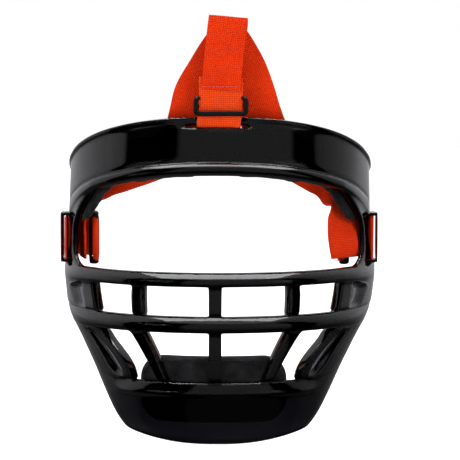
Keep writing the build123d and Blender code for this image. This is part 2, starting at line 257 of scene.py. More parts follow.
def acetal():
    finish = Finish("black_acetal", (0.004, 0.004, 0.0045), 0.32)
    finish.set("Specular IOR Level", 0.35)
    where = finish.coordinates((1, 1, 1))
    finish.roughness_from(finish.noise(where, 300.0), 0.25, 0.45)
    finish.bump_from(finish.noise(where, 1500.0), 0.15, 0.0002)
    return finish.material


def thread(name, dark, light):
    finish = Finish(name, light, 0.6)
    ply = finish.wave(finish.coordinates((900, 900, 900)), "DIAGONAL")
    finish.colour_from(ply, dark, light)
    finish.bump_from(ply, 0.5, 0.0003)
    return finish.material


SMOKE = smoke_plastic()
ELASTIC = strap_cloth("orange_elastic", (0.33, 0.009, 0.001), (0.65, 0.034, 0.003), 0.0011, 0.0010, 0.0004)
WEBBING = strap_cloth("orange_webbing", (0.40, 0.015, 0.002), (0.70, 0.062, 0.008), 0.0013, 0.0012, 0.0005)
KNIT = pad_knit()
BINDING = binding_cloth()
HOOK = hook_cloth()
ACETAL = acetal()
THREAD = thread("seam_thread", (0.30, 0.012, 0.01), (0.70, 0.07, 0.05))
DARK_THREAD = thread("pad_thread", (0.01, 0.01, 0.011), (0.05, 0.05, 0.055))

# ---- the moulded shell --------------------------------------------------------------------
TILT = radians(24.0)
BAND = dict(half=90.5, front=-12.0, rear=66.0)
BAND_CURVE = 2.3
WALL = 3.0              # thickness of the band, the posts and the chin's bowl
# the grille's form by height: its half width, its front and its rear
FORM_HALF = ((-166.5, 40), (-165, 43.5), (-158, 52.5), (-150, 59), (-142, 63.6), (-133.8, 68),
             (-125.6, 72.3), (-117.4, 77), (-109, 82), (-100.5, 87.4), (-91.7, 91.1), (-84, 92.6),
             (-76.5, 93.6), (-68.5, 93.6))
FORM_FRONT = ((-166.5, -29), (-158, -35.5), (-150, -39), (-135.5, -42), (-117, -42), (-101, -41),
              (-84, -39), (-68.5, -36))
FORM_REAR = ((-166.5, -17), (-158, -12), (-150, -6), (-135.5, 6), (-117, 22), (-101, 38),
             (-84, 53), (-68.5, 57))

# key columns: mid-line, centre bar, mid window, inner bar (two edges), mid window, outer bar (two edges),
# panel, post's front edge, rear rim, rear edge. Each row gives them as the sine of the way round.
WAYS = {
    "band": (0, 0.040, 0.204, 0.36, 0.44, 0.56, 0.68, 0.74, 0.82, 0.89, 0.975, 1.0),
    "lip": (0, 0.040, 0.200, 0.40, 0.47, 0.58, 0.68, 0.72, 0.77, 0.80, 0.975, 1.0),
    "cheek": (0, 0.042, 0.230, 0.435, 0.505, 0.645, 0.765, 0.825, 0.85, 0.87, 0.975, 1.0),
    "upper": (0, 0.041, 0.230, 0.440, 0.515, 0.645, 0.765, 0.832, 0.958, 0.970, 0.984, 1.0),
    "middle": (0, 0.041, 0.230, 0.445, 0.520, 0.640, 0.755, 0.825, 0.915, 0.95, 0.975, 1.0),
    "lower": (0, 0.043, 0.230, 0.458, 0.560, 0.660, 0.785, 0.830, 0.90, 0.94, 0.975, 1.0),
    "chin": (0, 0.052, 0.210, 0.380, 0.460, 0.580, 0.705, 0.770, 0.86, 0.91, 0.965, 1.0),
    "foot": (0, 0.080, 0.230, 0.400, 0.490, 0.600, 0.700, 0.770, 0.86, 0.92, 0.97, 1.0),
}
# the curved rim of the lower pocket: its two edges and the pocket's far side, by height
LEAF = {
    6: ((-129.5, 0.676), (-122.7, 0.667), (-116.0, 0.692), (-108.0, 0.742), (-102.0, 0.752)),
    7: ((-129.5, 0.735), (-122.7, 0.718), (-116.0, 0.742), (-108.0, 0.806), (-102.0, 0.828)),
    8: ((-129.5, 0.790), (-122.7, 0.842), (-116.0, 0.862), (-108.0, 0.885), (-102.0, 0.905)),
}
# how each span between key columns is divided
SPANS = ((0, 0.45, 0.8), (0, 0.12, 0.5), (0, 0.35, 0.7, 0.9), (0, 0.14, 0.5, 0.86), (0, 0.12, 0.45, 0.8),
         (0, 0.3, 0.65, 0.9), (0, 0.14, 0.5, 0.86), (0, 0.12, 0.3, 0.5, 0.7, 0.88), (0, 0.5), (0, 0.3, 0.65),
         (0, 0.35, 0.65, 0.88))


def key_columns():
    found = []
    for key, parts in enumerate(SPANS):
        found += [key + part for part in parts]
    found.append(float(len(SPANS)))
    return found


HALF_COLUMNS = key_columns()
COLUMNS = [-c for c in reversed(HALF_COLUMNS[1:])] + HALF_COLUMNS


SLOT_TOP = 10.5         # height of the slot's upper edge, up the tilted band
CHEEK_FOOT = -76.5      # where the upper windows start
MIDDLE_TOP = -92.7      # where the upper windows end, at the middle rail
MIDDLE_FOOT = -102.0    # where the lower windows start
LOWER_TOP = -129.5      # where the lower windows end
FOOT = -166.5           # the chin's foot
# height and stand-out down the band and its brow lip, and down the chin's bowl
BAND_ROWS = ((14.6, 0.0), (14.5, 0.9), (13.8, 1.2), (12.6, 1.1), (11.4, 0.2), (SLOT_TOP, 0), (8.2, 0),
             (7.4, 0), (3, 0), (-3, 0), (-9, 0), (-11.6, 0), (-12.6, -0.5), (-13.4, -0.5), (-14.2, 1.0),
             (-15.4, 2.6), (-18.6, 3.2), (-20.2, 2.8), (-20.9, 1.4))
BOWL_ROWS = ((-138.2, 0.2), (-140.5, 0), (-144.5, 0), (-149, 0), (-153.5, 0), (-157.5, 0), (-161.5, 0),
             (-163.6, 0), (-164.6, 0.5), (-165.8, 0.7), (FOOT, 0.2))
# how far down the post each of its rows lies, from the lip to the rail
POST_ROWS = (0.05, 0.12, 0.22, 0.36, 0.5, 0.64, 0.77, 0.87, 0.94)
# height, stand-out and depth across each rail
CHEEK_RAIL = ((-68.5, -0.6, 3.8), (-69.0, 0.6, 4.4), (-71.8, 3.0, 5.4), (-72.6, 3.4, 5.6), (-75.6, 3.2, 5.6),
              (CHEEK_FOOT, 2.2, 5.0))
MIDDLE_RAIL = ((MIDDLE_TOP, -0.6, 4.0), (-93.2, 0.6, 5.0), (-96.4, 3.0, 5.8), (-97.2, 3.4, 6.0),
               (-101.0, 3.2, 6.0), (MIDDLE_FOOT, 2.2, 5.0))
LOWER_RAIL = ((LOWER_TOP, -2.4, 4.6), (-130.2, -1.6, 4.8), (-134.6, 1.2, 4.6), (-135.6, 1.7, 4.4),
              (-136.8, 1.4, 3.8))
UPPER_WINDOWS = (-77.3, -79.0, -81.5, -84.6, -87.8, -90.2, -91.9)
LOWER_WINDOWS = (-102.9, -104.6, -107.2, -110.2, -113.4, -116.6, -119.8, -122.8, -125.4, -127.4, -128.7)


def rows():
    """Every row of the shell from the band's top edge to the chin's foot: kind, height, stand-out, depth."""
    made = [("band", height, out, WALL) for height, out in BAND_ROWS]
    made += [("post", down, 0, WALL) for down in POST_ROWS]
    made += [("rail", *row) for row in CHEEK_RAIL]
    made += [("window", height, 1.0, 6.0) for height in UPPER_WINDOWS]
    made += [("rail", *row) for row in MIDDLE_RAIL]
    made += [("window", height, 1.0, 6.0) for height in LOWER_WINDOWS]
    made += [("rail", *row) for row in LOWER_RAIL]
    made += [("bowl", height, out, WALL) for height, out in BOWL_ROWS]
    return made


ROWS = rows()
POSTS = [i for i, row in enumerate(ROWS) if row[0] == "post"]
SLOT_FOOT = 8.0         # the rim's bead is left off above the slot
FOOT_RISE = 8.0         # the chin's foot climbs this far towards its sides
LIP_ROW, RAIL_ROW = POSTS[0] - 1, POSTS[-1] + 1
# the heights at which the grille's columns take each set of ways
WAY_MARKS = (("cheek", CHEEK_FOOT), ("upper", -80.0), ("middle", MIDDLE_TOP), ("lower", MIDDLE_FOOT),
             ("chin", LOWER_TOP), ("foot", FOOT))


def form(height):
    return between(FORM_HALF, height), between(FORM_FRONT, height), between(FORM_REAR, height)


def ways_at(row):
    """The key columns' ways round at a row."""
    kind, height = ROWS[row][:2]
    if kind == "band":
        return [lerp(a, b, ease(0, 1, (4 - height) / 24)) for a, b in zip(WAYS["band"], WAYS["lip"])]
    if kind == "post":
        found = [lerp(a, b, height) for a, b in zip(WAYS["lip"], WAYS["cheek"])]
        at_top = 0.125 * max(0, 1 - height / 0.42) ** 2.2
        at_foot = 0.055 * max(0, 1 - (1 - height) / 0.25) ** 2
        found[9] = 0.925 - at_top - at_foot
        return found
    if height >= CHEEK_FOOT:
        return list(WAYS["cheek"])
    for (upper, high), (lower, low) in zip(WAY_MARKS, WAY_MARKS[1:]):
        if height >= low:
            break
    t = (high - height) / (high - low)
    found = [lerp(a, b, t) for a, b in zip(WAYS[upper], WAYS[lower])]
    if upper == "lower":
        for key, stops in LEAF.items():
            found[key] = between(stops, height)
    return found


def way(row, column):
    """The sine of the way round for a column of a row, by linear steps between its key columns."""
    found = ways_at(row)
    key = min(int(abs(column)), len(found) - 2)
    value = lerp(found[key], found[key + 1], abs(column) - key)
    return value if column >= 0 else -value


def on_form(height, sine, out):
    """A point outside the grille's form. Raised work fades out towards the silhouette."""
    half, front, rear = form(height)
    aside = abs(sine) ** 6
    x = (half + out * (1 - aside) + min(out, 0.0) * aside) * sine
    return Vector((x, rear - (rear - front + out) * sqrt(max(0, 1 - sine * sine)), height))


def on_band(height, sine, out):
    """A point outside the band's plan, which is a superellipse: flatter than an ellipse over the brow."""
    half, front, rear = BAND["half"], BAND["front"], BAND["rear"]
    forward = max(0.0, 1 - abs(sine) ** BAND_CURVE) ** (1 / BAND_CURVE)
    y = rear - (rear - front + out) * forward
    x = (half + out) * sine
    return Vector((x, y * cos(TILT) + height * sin(TILT), -y * sin(TILT) + height * cos(TILT)))


def recess(row, column):
    """How far a point lies inside a recessed cheek pocket, 0 to 1."""
    key = abs(column)
    kind, height = ROWS[row][:2]
    if kind != "window":
        return 0.0
    low, high = (MIDDLE_TOP, CHEEK_FOOT) if height > MIDDLE_TOP else (-128.6, -103.0)
    tall = min(ease(low + 0.4, low + 2.4, height), 1 - ease(high - 2.4, high - 0.4, height))
    return ease(7.02, 7.3, key) * (1 - ease(7.72, 8.0, key)) * tall


def shell_point(row, column, inner):
    kind, height, out, depth = ROWS[row]
    sine = way(row, column)
    key = abs(column)
    if kind == "band":
        fade = 1 - ease(8.6, 10.2, key) if height < -13 else 1.0
        if height > SLOT_FOOT:
            fade = ease(2.0, 2.4, key)
        return on_band(height, sine, -depth if inner else out * fade)
    if kind == "post":
        bead = 1.6 * (1 - ease(9.2, 9.9, key))
        lip_out = ROWS[LIP_ROW][2] * (1 - ease(8.6, 10.2, key))
        top = on_band(ROWS[LIP_ROW][1], sine, -WALL if inner else lip_out)
        foot = on_form(ROWS[RAIL_ROW][1], sine, -WALL if inner else ROWS[RAIL_ROW][2])
        point = top.lerp(foot, height)
        waist = sin(pi * min(1, max(0, height))) ** 0.7
        point.x -= (1 if column > 0 else -1) * waist * (1.6 - (0 if inner else bead))
        return point
    if kind == "window":
        sunk = recess(row, column)
        rim = ease(7.6, 8.6, key)
        outer = lerp(lerp(out, 0.0, rim), -2.3, sunk)
        behind = lerp(lerp(-depth, -3.2, rim), -3.4, sunk)
        return on_form(height, sine, behind if inner else outer)
    if kind == "rail":
        rim = ease(9.8, 10.8, key)
        if height <= LOWER_TOP:
            out = lerp(out, 0.0, ease(6.6, 8.2, key))
        return on_form(height, sine, lerp(-depth, -3.2, rim) if inner else lerp(out, min(out, 1.4), rim))
    height += FOOT_RISE * ease(-148, FOOT, height) * abs(sine) ** 3
    return on_form(height, sine, -depth if inner else out)


def is_open(row, column):
    """True for a cell of the flat pattern that is cut out: the slot, the eye opening and the windows."""
    kinds = {ROWS[row][0], ROWS[row + 1][0]}
    key = min(abs(COLUMNS[column]), abs(COLUMNS[column + 1]))
    if ROWS[row][0] == "band" and ROWS[row][1] == SLOT_TOP:
        return key < 2
    if "post" in kinds:
        return key < 9
    if "window" in kinds:
        return 1 <= key < 3 or 4 <= key < 6
    return False


def shell():
    """The whole moulding: a flat pattern with its openings cut, thickened, then wrapped round the face."""
    bm = bmesh.new()
    wide, tall = len(COLUMNS) - 1, len(ROWS) - 1
    bmesh.ops.create_grid(bm, x_segments=wide, y_segments=tall, size=0.5)
    for vertex in bm.verts:
        vertex.co.x = round((vertex.co.x + 0.5) * wide)
        vertex.co.y = round((0.5 - vertex.co.y) * tall)
    cut = []
    for face in bm.faces:
        row, column = (int(min(v.co[axis] for v in face.verts)) for axis in (1, 0))
        if is_open(row, column):
            cut.append(face)
    bmesh.ops.delete(bm, geom=cut, context="FACES")
    raised = bmesh.ops.extrude_face_region(bm, geom=list(bm.faces), use_keep_orig=True)
    for item in raised["geom"]:
        if isinstance(item, bmesh.types.BMVert):
            item.co.z = 1.0
    for vertex in bm.verts:
        row, column = int(vertex.co.y), int(vertex.co.x)
        vertex.co = shell_point(row, COLUMNS[column], vertex.co.z < 0.5) * MM
    bmesh.ops.recalc_face_normals(bm, faces=list(bm.faces))
    for side in (-1, 1):
        add_bridge(bm, side)
    piece = finish_mesh("moulded_shell", bm, SMOKE, "frame", 1)
    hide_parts("forehead_band", "left_post", "right_post", "cheek_rail", "middle_rail", "upper_bars",
                "lower_bars", "left_cheek_panel", "right_cheek_panel", "chin_shield")


def add_box(bm, low, high, bevel):
    """A bevelled box between two corners, in millimetres."""
    low, high = Vector(low) * MM, Vector(high) * MM
    made = bmesh.ops.create_cube(bm, size=1.0)["verts"]
    bmesh.ops.scale(bm, vec=high - low, verts=made)
    bmesh.ops.translate(bm, vec=(low + high) / 2, verts=made)
    edges = list({e for v in made for e in v.link_edges})
    bmesh.ops.bevel(bm, geom=edges, offset=bevel * MM, segments=2, profile=0.5, affect="EDGES", material=-1)


BRIDGE = dict(start=33.0, end=50.0, foot=-68.6, top=-38.6, leg=2.2, root=86.5, inner=93.2, outer=94.4)


def add_bridge(bm, side):
    """The belt loop moulded on the outside of a post."""
    start, end = BRIDGE["start"], BRIDGE["end"]
    near, far = sorted((side * BRIDGE["inner"], side * BRIDGE["outer"]))
    add_box(bm, (near, start, BRIDGE["foot"]), (far, end, BRIDGE["top"]), 0.8)
    near, far = sorted((side * BRIDGE["root"], side * (BRIDGE["inner"] + 0.2)))
    for z in (BRIDGE["foot"], BRIDGE["top"] - BRIDGE["leg"]):
        add_box(bm, (near, start, z), (far, end, z + BRIDGE["leg"]), 0.7)


# ---- straps -------------------------------------------------------------------------------
def curve_points(points, steps):
    """Points along a smooth curve through the given ones."""
    found = []
    for index in range(len(points) - 1):
        p0 = points[max(index - 1, 0)]
        p1, p2 = points[index], points[index + 1]
        p3 = points[min(index + 2, len(points) - 1)]
        for step in range(steps):
            t = step / steps
            found.append(0.5 * ((2 * p1) + (p2 - p0) * t + (2 * p0 - 5 * p1 + 4 * p2 - p3) * t * t
                                + (3 * p1 - p0 - 3 * p2 + p3) * t * t * t))
    found.append(points[-1])
    return found


def strap(name, stations, body, material, width, thick=1.3, steps=5, cells=8, ripple=0.12):
    """A flat strap along stations of (centre, across), in millimetres, with a UV map in metres."""
    centres = curve_points([Vector(s[0]) for s in stations], steps)
    acrosses = [a.normalized() for a in curve_points([Vector(s[1]) for s in stations], steps)]
    bm = bmesh.new()
    uv = bm.loops.layers.uv.new("cloth")
    bmesh.ops.create_grid(bm, x_segments=cells, y_segments=len(centres) - 1, size=0.5)
    along = [0.0]
    for a, b in zip(centres, centres[1:]):
        along.append(along[-1] + (b - a).length)
    place = {}
    for vertex in bm.verts:
        side = vertex.co.x
        index = round((vertex.co.y + 0.5) * (len(centres) - 1))
        place[vertex] = (side * width * MM, along[index] * MM)
        wobble = noise.noise(Vector((side * 2.0, along[index] * 0.15, len(name)))) * ripple
        tangent = (centres[min(index + 1, len(centres) - 1)] - centres[max(index - 1, 0)]).normalized()
        normal = acrosses[index].cross(tangent).normalized()
        vertex.co = (centres[index] + acrosses[index] * side * width + normal * wobble) * MM
    for face in bm.faces:
        for loop in face.loops:
            loop[uv].uv = place[loop.vert]
    piece = finish_mesh(name, bm, material, None)
    wall = piece.modifiers.new("thickness", "SOLIDIFY")
    wall.thickness = thick * MM
    wall.offset = 0.0
    edge = piece.modifiers.new("selvedge", "BEVEL")
    edge.width = 0.35 * MM
    edge.segments = 2
    edge.limit_method = "ANGLE"
    edge.angle_limit = radians(50)
    subdivide(piece, 1)
    if body:
        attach(piece, body)
    return piece


PIVOT = Vector((0, -3.98, 15.89))   # the harness turns here, in the band's rim
LOOP = 3.6              # radius of the webbing round the rim
TOP_SHIFT = 2.4         # the webbing stands this far off the mid-line
FOLD_DEPTH = 9.0        # the legs hang this far behind the webbing


def front_webbing():
    ply = PIVOT.y - LOOP
    rear = PIVOT.y + LOOP
    points = [(TOP_SHIFT, ply, z) for z in (41.0, 36.0, 31.0, 26.5, 22.0)] + [(1.6, ply, 17.5)]
    for turn in range(0, 181, 30):
        a = radians(turn)
        points.append((1.2, PIVOT.y - LOOP * cos(a), PIVOT.z - LOOP * sin(a)))
    points += [(1.4, rear, 20), (1.8, rear - 0.6, 25), (2.2, ply + 4.2, 31), (2.4, ply + 1.8, 36),
               (2.4, ply + 1.45, 41)]
    stations = [(point, (1, 0, -0.03)) for point in points]
    piece = strap("front_webbing_cloth", stations, "harness", WEBBING, 25.0)
    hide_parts("front_webbing")


def top_strap():
    face = PIVOT.y - LOOP - 1.4
    points = [(2.6, face, 33.6), (2.9, face, 38), (3.3, face + 0.1, 44), (4.4, face + 0.4, 55),
              (5.6, face + 0.9, 66), (6.2, face + 1.5, 70.8), (6.5, face + 2.6, 73.6), (6.6, face + 4.6, 74.9),
              (6.6, face + 6.8, 73.9), (6.4, face + 8.2, 70.5), (5.6, face + 8.9, 65), (4.6, face + 9, 58),
              (3.8, face + 9, 52)]
    stations = [(point, (1, 0, -0.09)) for point in points]
    piece = strap("top_strap_elastic", stations, "harness", ELASTIC, 22.4, 1.4)
    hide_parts("top_strap")


# each leg from the crown seam, behind the band, round inside the pads and down the post: centre, then across
LEG_RUN = {
    "left": (((6.5, 0.0, 61), (0.62, 0, -0.78)), ((1.5, 0.0, 54.5), (0.84, 0, -0.54)),
             ((-5.0, 0.1, 44), (0.87, 0, -0.48)),
             ((-12.3, 0.5, 31.5), (0.91, 0, -0.40)), ((-15.2, 1.2, 20), (0.98, 0, -0.2)),
             ((-19, 4.0, 8), (0.95, 0.05, -0.3)), ((-28, 8.0, -2), (0.6, 0.1, -0.75)),
             ((-41, 12.5, -8), (0.25, 0.1, -0.95)), ((-54, 19.0, -13.2), (0.05, 0.15, -1.0)),
             ((-65, 28.0, -17), (0.15, -0.3, -0.9)), ((-75.5, 34.0, -28), (0.3, -0.85, -0.3)),
             ((-80.8, 35.0, -42), (0.22, -0.97, 0.0)), ((-81.2, 35.5, -54), (0.22, -0.97, 0.0)),
             ((-81.2, 36.0, -66), (0.22, -0.97, 0.0))),
    "right": (((6.8, 1.4, 61), (0.62, 0, 0.78)), ((10.8, 1.4, 54.5), (0.86, 0, 0.51)),
              ((16.2, 1.5, 44.5), (0.9, 0, 0.42)),
              ((20.8, 1.8, 32), (0.95, 0, 0.31)), ((24.6, 2.4, 19.5), (0.95, 0, 0.3)),
              ((30, 5.0, 7), (0.85, 0.05, 0.5)), ((40, 9.0, -3), (0.5, 0.1, 0.85)),
              ((52, 15.0, -11.5), (0.15, 0.1, 1.0)), ((62, 23.0, -18), (0.2, -0.2, 0.95)),
              ((69.5, 26.0, -29), (0.25, 0.85, 0.35)), ((71.8, 19.0, -40), (0.58, 0.78, 0.1)),
              ((73.2, 13.5, -52), (0.70, 0.71, 0.0)), ((74.2, 13.0, -64), (0.62, 0.78, 0.0))),
}


def leg(name):
    y = PIVOT.y - LOOP + FOLD_DEPTH
    stations = [((x, y + back, z), across) for (x, back, z), across in LEG_RUN[name]]
    piece = strap(name + "_leg_elastic", stations, None, ELASTIC, 25.0, 1.4, 6)
    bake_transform(piece)
    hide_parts(name + "_upper_leg", name + "_lower_leg")


SIDE_RUN = ((-90.6, 30), (-91.3, 40), (-92.0, 50), (-92.3, 58), (-91.4, 63.5), (-87.8, 66), (-84.4, 64),
            (-82.4, 60.5), (-76.4, 54), (-75.4, 45), (-74.4, 36), (-73.6, 28), (-72.2, 22), (-70.4, 17.5))


def side_loop(name, side):
    stations = [((-side * x, y, -53.75), (0, 0, 1)) for x, y in SIDE_RUN]
    piece = strap(name + "_side_elastic", stations, "frame", ELASTIC, 25.0, 1.3, 4)
    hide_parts(name + "_side_loop")


# ---- swept sections -----------------------------------------------------------------------
def sweep(bm, points, outs, sizes, closed=False, sides=10, power=0.7):
    """A rounded section along points. outs point away from its flat, sizes are its half width and depth."""
    rings = []
    count = len(points)
    for index in range(count):
        after = points[(index + 1) % count] if closed or index + 1 < count else points[index]
        before = points[index - 1] if closed or index else points[index]
        tangent = (after - before).normalized()
        out = (outs[index] - tangent * outs[index].dot(tangent)).normalized()
        side = tangent.cross(out)
        ring = []
        for step in range(sides):
            a = 2 * pi * (step + 0.5) / sides
            c, d = (abs(f) ** power * (1 if f > 0 else -1) for f in (cos(a), sin(a)))
            offset = side * (sizes[index][0] * c) + out * (sizes[index][1] * d)
            ring.append(bm.verts.new((points[index] + offset) * MM))
        rings.append(ring)
    pairs = list(zip(rings, rings[1:])) + ([(rings[-1], rings[0])] if closed else [])
    for first, second in pairs:
        for step in range(sides):
            bm.faces.new((first[step], first[(step + 1) % sides], second[(step + 1) % sides], second[step]))
    if not closed:
        bm.faces.new(list(reversed(rings[0])))
        bm.faces.new(rings[-1])


def rounded_loop(half_wide, half_tall, radius, steps=6):
    """Points round a rounded rectangle, from the middle of its right side."""
    found = []
    for corner in range(4):
        x = (half_wide - radius) * (1 if corner in (0, 3) else -1)
        z = (half_tall - radius) * (1 if corner in (0, 1) else -1)
        for step in range(steps + 1):
            a = radians(90 * (corner + step / steps))
            found.append((x + radius * cos(a), z + radius * sin(a)))
    full = []
    for index, here in enumerate(found):
        then = found[(index + 1) % len(found)]
        span = sqrt((then[0] - here[0]) ** 2 + (then[1] - here[1]) ** 2)
        cuts = max(1, round(span / 2.4))
        full += [(lerp(here[0], then[0], i / cuts), lerp(here[1], then[1], i / cuts)) for i in range(cuts)]
    return full


# ---- adjusters ----------------------------------------------------------------------------
GLIDE = dict(wide=31.4, tall=11.5, bar=2.8, room=1.1, thick=2.0)


def adjuster(node, body, place, high_back):
    """Moulded three-bar slide: end bars before the strap, the middle bar and any high_back end bar behind."""
    bm = bmesh.new()
    depth = GLIDE["room"] + GLIDE["thick"] / 2
    half_wide, half_tall = GLIDE["wide"] / 2 - 1.35, GLIDE["tall"] / 2 - 1.4
    points, outs, sizes = [], [], []
    for x, z in rounded_loop(half_wide, half_tall, 1.6, 4):
        at_side = ease(half_wide - 2.2, half_wide - 0.6, abs(x))
        bar_y = depth if z > 0 and high_back else -depth
        points.append(Vector((x, bar_y * (1 - at_side), z)))
        outs.append(Vector((0, -1, 0)))
        sizes.append((1.6, lerp(1.15, 3.0, at_side)))
    sweep(bm, points, outs, sizes, True)
    middle = [Vector((x, depth, 0)) for x in (-half_wide - 0.5, -8, 0, 8, half_wide + 0.5)]
    sweep(bm, middle, [Vector((0, -1, 0))] * 5, [(1.45, 1.0)] * 5)
    for vertex in bm.verts:
        vertex.co = place @ vertex.co
    bmesh.ops.recalc_face_normals(bm, faces=list(bm.faces))
    piece = finish_mesh(node + "_moulding", bm, ACETAL, body, 1)
    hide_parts(node)


def adjusters():
    top = Matrix.Translation(Vector((TOP_SHIFT, PIVOT.y - LOOP, 18.8 + GLIDE["tall"] / 2)) * MM)
    adjuster("top_tri_glide", "top_adjuster", top, True)
    for name, side in (("left", 1), ("right", -1)):
        run = Vector((side * 3.6, -34.0, 0)).normalized()
        out = Vector((side, 0, 0))
        wide = Vector((0, 0, 1))
        turn = Matrix((wide, -(out - run * out.dot(run)).normalized(), run)).transposed()
        where = Vector((-side * 74.6, 37.0, -53.75))
        place = Matrix.Translation(where * MM) @ turn.to_4x4()
        adjuster(name + "_tri_glide", name + "_adjuster", place, False)


# ---- pads ---------------------------------------------------------------------------------
def on_pad(surface, height, across, depth):
    """A point of a pad, by its height, its distance from the mid-line and its depth inside the wall."""
    half = BAND["half"] if surface is on_band else form(height)[0]
    return surface(height, across / half, -depth)


def pad_shape(name, surface, across, heights, depths, ends, drop):
    """A crowned slab that follows the wall: flat towards the wall, pillowed towards the face."""
    bm = bmesh.new()
    bmesh.ops.create_cube(bm, size=2.0)
    bmesh.ops.subdivide_edges(bm, edges=list(bm.edges), cuts=12, use_grid_fill=True)
    for vertex in bm.verts:
        a, b, c = vertex.co
        narrow = sqrt(max(0.0, 1 - (max(0.0, abs(a) - 1 + ends) / ends) ** 2 * 0.86))
        crown = 1 - 0.30 * max(abs(a), abs(b) * narrow) ** 6
        middle = (heights[0] + heights[1]) / 2
        place = lerp(across[0], across[1], (a + 1) / 2)
        height = middle + b * (heights[1] - heights[0]) / 2 * narrow
        height -= drop * ease(66, 82, abs(place)) * (1 - b) / 2
        depth = lerp(depths[0], depths[1], (c + 1) / 2 * crown)
        vertex.co = on_pad(surface, height, place, depth) * MM
    bmesh.ops.recalc_face_normals(bm, faces=list(bm.faces))
    return finish_mesh(name, bm, KNIT, None)


PUFF = dict(voxel=2.4, pressure=4.0, frames=20)


def puff(piece, cap):
    """Fills a pad by cloth simulation, where no point moves further than the cap, in millimetres."""
    scene = bpy.context.scene
    remesh = piece.modifiers.new("remesh", "REMESH")
    remesh.mode = "VOXEL"
    remesh.voxel_size = PUFF["voxel"] * MM
    bake(piece)
    start = [v.co.copy() for v in piece.data.vertices]
    cloth = piece.modifiers.new("cloth", "CLOTH")
    cloth.settings.use_pressure = True
    cloth.settings.uniform_pressure_force = PUFF["pressure"]
    cloth.settings.effector_weights.gravity = 0
    cloth.settings.quality = 5
    cloth.point_cache.frame_start = 1
    cloth.point_cache.frame_end = PUFF["frames"]
    for step in range(1, PUFF["frames"] + 1):
        scene.frame_set(step)
    bake(piece)
    for vertex, before in zip(piece.data.vertices, start):
        moved = vertex.co - before
        if moved.length > cap * MM:
            vertex.co = before + moved.normalized() * cap * MM
    scene.frame_set(1)


def bake(piece):
    """Applies the piece's modifiers to its mesh."""
    graph = bpy.context.evaluated_depsgraph_get()
    graph.update()
    mesh = bpy.data.meshes.new_from_object(piece.evaluated_get(graph))
    old = piece.data
    piece.modifiers.clear()
    piece.data = mesh
    bpy.data.meshes.remove(old)
    for polygon in mesh.polygons:
        polygon.use_smooth = True


def pad(name, surface, across, heights, depths, ends, drop, nodes, cap=0.9):
    piece = pad_shape(name, surface, across, heights, depths, ends, drop)
    puff(piece, cap)
    subdivide(piece, 1)
    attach(piece, "frame")
    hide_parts(*nodes)


def rim_points(surface, across, heights, depth, ends, inset):
    """Points round a pad's outline at one depth, and the way out of the pad there."""
    middle, tall = (heights[0] + heights[1]) / 2, (heights[1] - heights[0]) / 2 - inset
    centre, wide = (across[0] + across[1]) / 2, (across[1] - across[0]) / 2 - inset
    points, outs = [], []
    for x, z in rounded_loop(wide, tall, ends, 6):
        points.append(on_pad(surface, middle + z, centre + x, depth))
        outs.append(points[-1] - on_pad(surface, middle + z, centre + x, depth - 1))
    return points, outs


def binding(name, surface, across, heights, depths, ends):
    """Tape folded round a pad's edge, with a row of lock stitches along it."""
    middle = (depths[0] + depths[1]) / 2
    points, outs = rim_points(surface, across, heights, middle, ends, 0.4)
    bm = bmesh.new()
    half = (depths[1] - depths[0]) * 0.36
    sweep(bm, points, outs, [(1.7, half)] * len(points), True, 12, 0.75)
    bmesh.ops.recalc_face_normals(bm, faces=list(bm.faces))
    piece = finish_mesh(name + "_binding", bm, BINDING, "frame", 1)
    points, outs = rim_points(surface, across, heights, middle + half, ends, 1.1)
    stitch_line(name + "_stitches", points, outs, DARK_THREAD, "frame")


def stitch_line(name, points, outs, material, body, pitch=3.0, length=2.1, thick=0.28):
    """Lock stitches laid along a closed line of points."""
    bm = bmesh.new()
    walked, due = 0.0, 0.0
    count = len(points)
    for index in range(count):
        here, then = points[index], points[(index + 1) % count]
        span = (then - here).length
        while due < walked + span:
            t = (due - walked) / span
            along = (then - here).normalized()
            middle = here.lerp(then, t)
            out = outs[index].normalized()
            line = [middle + along * (f * length / 2) + out * lift
                    for f, lift in ((-1, -0.25), (-0.6, 0.12), (0.6, 0.12), (1, -0.25))]
            sweep(bm, line, [out] * 4, [(thick, thick * 0.8)] * 4, False, 6, 1.0)
            due += pitch
        walked += span
    bmesh.ops.recalc_face_normals(bm, faces=list(bm.faces))
    piece = finish_mesh(name, bm, material, body, 0)


# each pad's wall, across, heights and depths, the share that narrows at its ends, its drop and its nodes
TEMPLE = ((-20.5, 9.0), (4.4, 9.0), 0.22, 12.0)
PADS = (
    ("forehead_cushion", on_band, (-60.5, 60.5), (-19.6, 6.2), (4.4, 11.6), 0.10, 0.0, ("forehead_pad",)),
    ("left_temple_cushion", on_band, (-86.6, -62.5), *TEMPLE, ("left_temple_pad",)),
    ("right_temple_cushion", on_band, (62.5, 86.6), *TEMPLE, ("right_temple_pad",)),
)
CHIN = ((-47.0, 44.0), (-152.0, -117.0), (4.8, 15.4))


def pads():
    for spec in PADS:
        pad(*spec)
    across, heights, depths = CHIN
    pad("chin_cushion", on_form, across, heights, depths, 0.24, 0.0, ("chin_pad_core", "chin_pad_cover"), 1.3)
    binding("chin_cushion", on_form, across, heights, depths, 12.0)


# ---- pieces that keep their own shape -----------------------------------------------------
def paint_nodes():
    for node in ("front_seam", "crown_seam"):
        recolour(node, THREAD)
    for node in ("forehead_hook_tape", "left_temple_tape", "right_temple_tape", "chin_hook_tape"):
        recolour(node, HOOK)


def recolour(node, material):
    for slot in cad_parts[node].material_slots:
        slot.material = material


